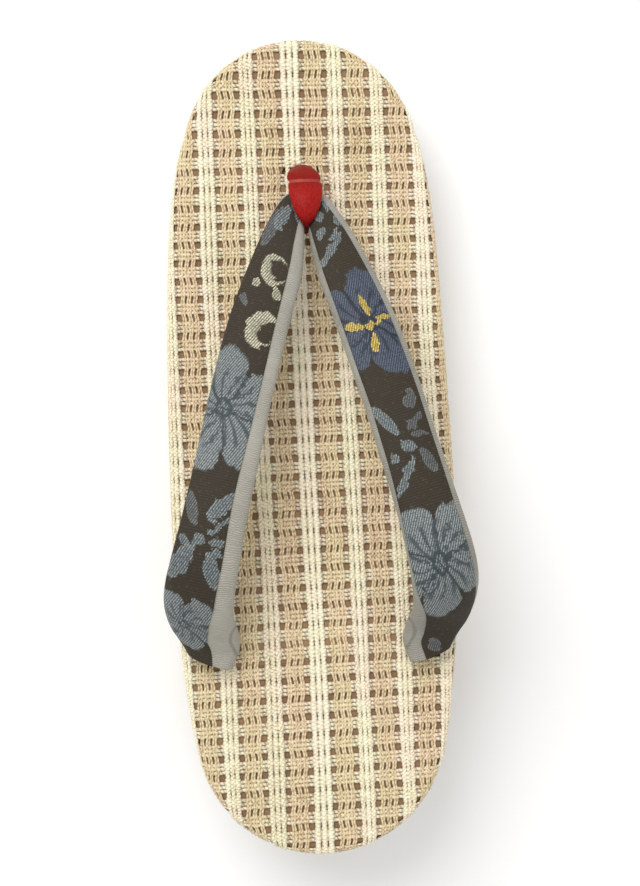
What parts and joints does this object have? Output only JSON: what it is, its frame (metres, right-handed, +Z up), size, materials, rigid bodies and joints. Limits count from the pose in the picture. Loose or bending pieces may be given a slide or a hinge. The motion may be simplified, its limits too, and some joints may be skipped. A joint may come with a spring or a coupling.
{
  "type": "zori sandal",
  "caption": "Thick-soled zori sandal with a wedge sole, open-weave topped foot board, stuffed V strap and a loop thong between the toes.",
  "frame": {"origin": "on the floor under the middle of the sole's box", "axes": "+Z up, +Y towards the toe, X across the sandal, the same on both sides"},
  "size_m": [0.0894, 0.24, 0.0694],
  "materials": {
    "outsole_rubber": "matt",
    "lift_rubber": "matt",
    "core_wrap": "satin grain",
    "board_cloth": "open weave over brown backing",
    "strap_brocade": "ribbed brocade with woven blossoms",
    "thong_velvet": "velvet pile"
  },
  "bodies": {
    "root": {"outsole": "outsole_rubber", "heel_lift": "lift_rubber", "sole_core": "core_wrap", "top_board": "board_cloth", "strap": "strap_brocade", "toe_thong": "thong_velvet"}
  },
  "joints": []
}
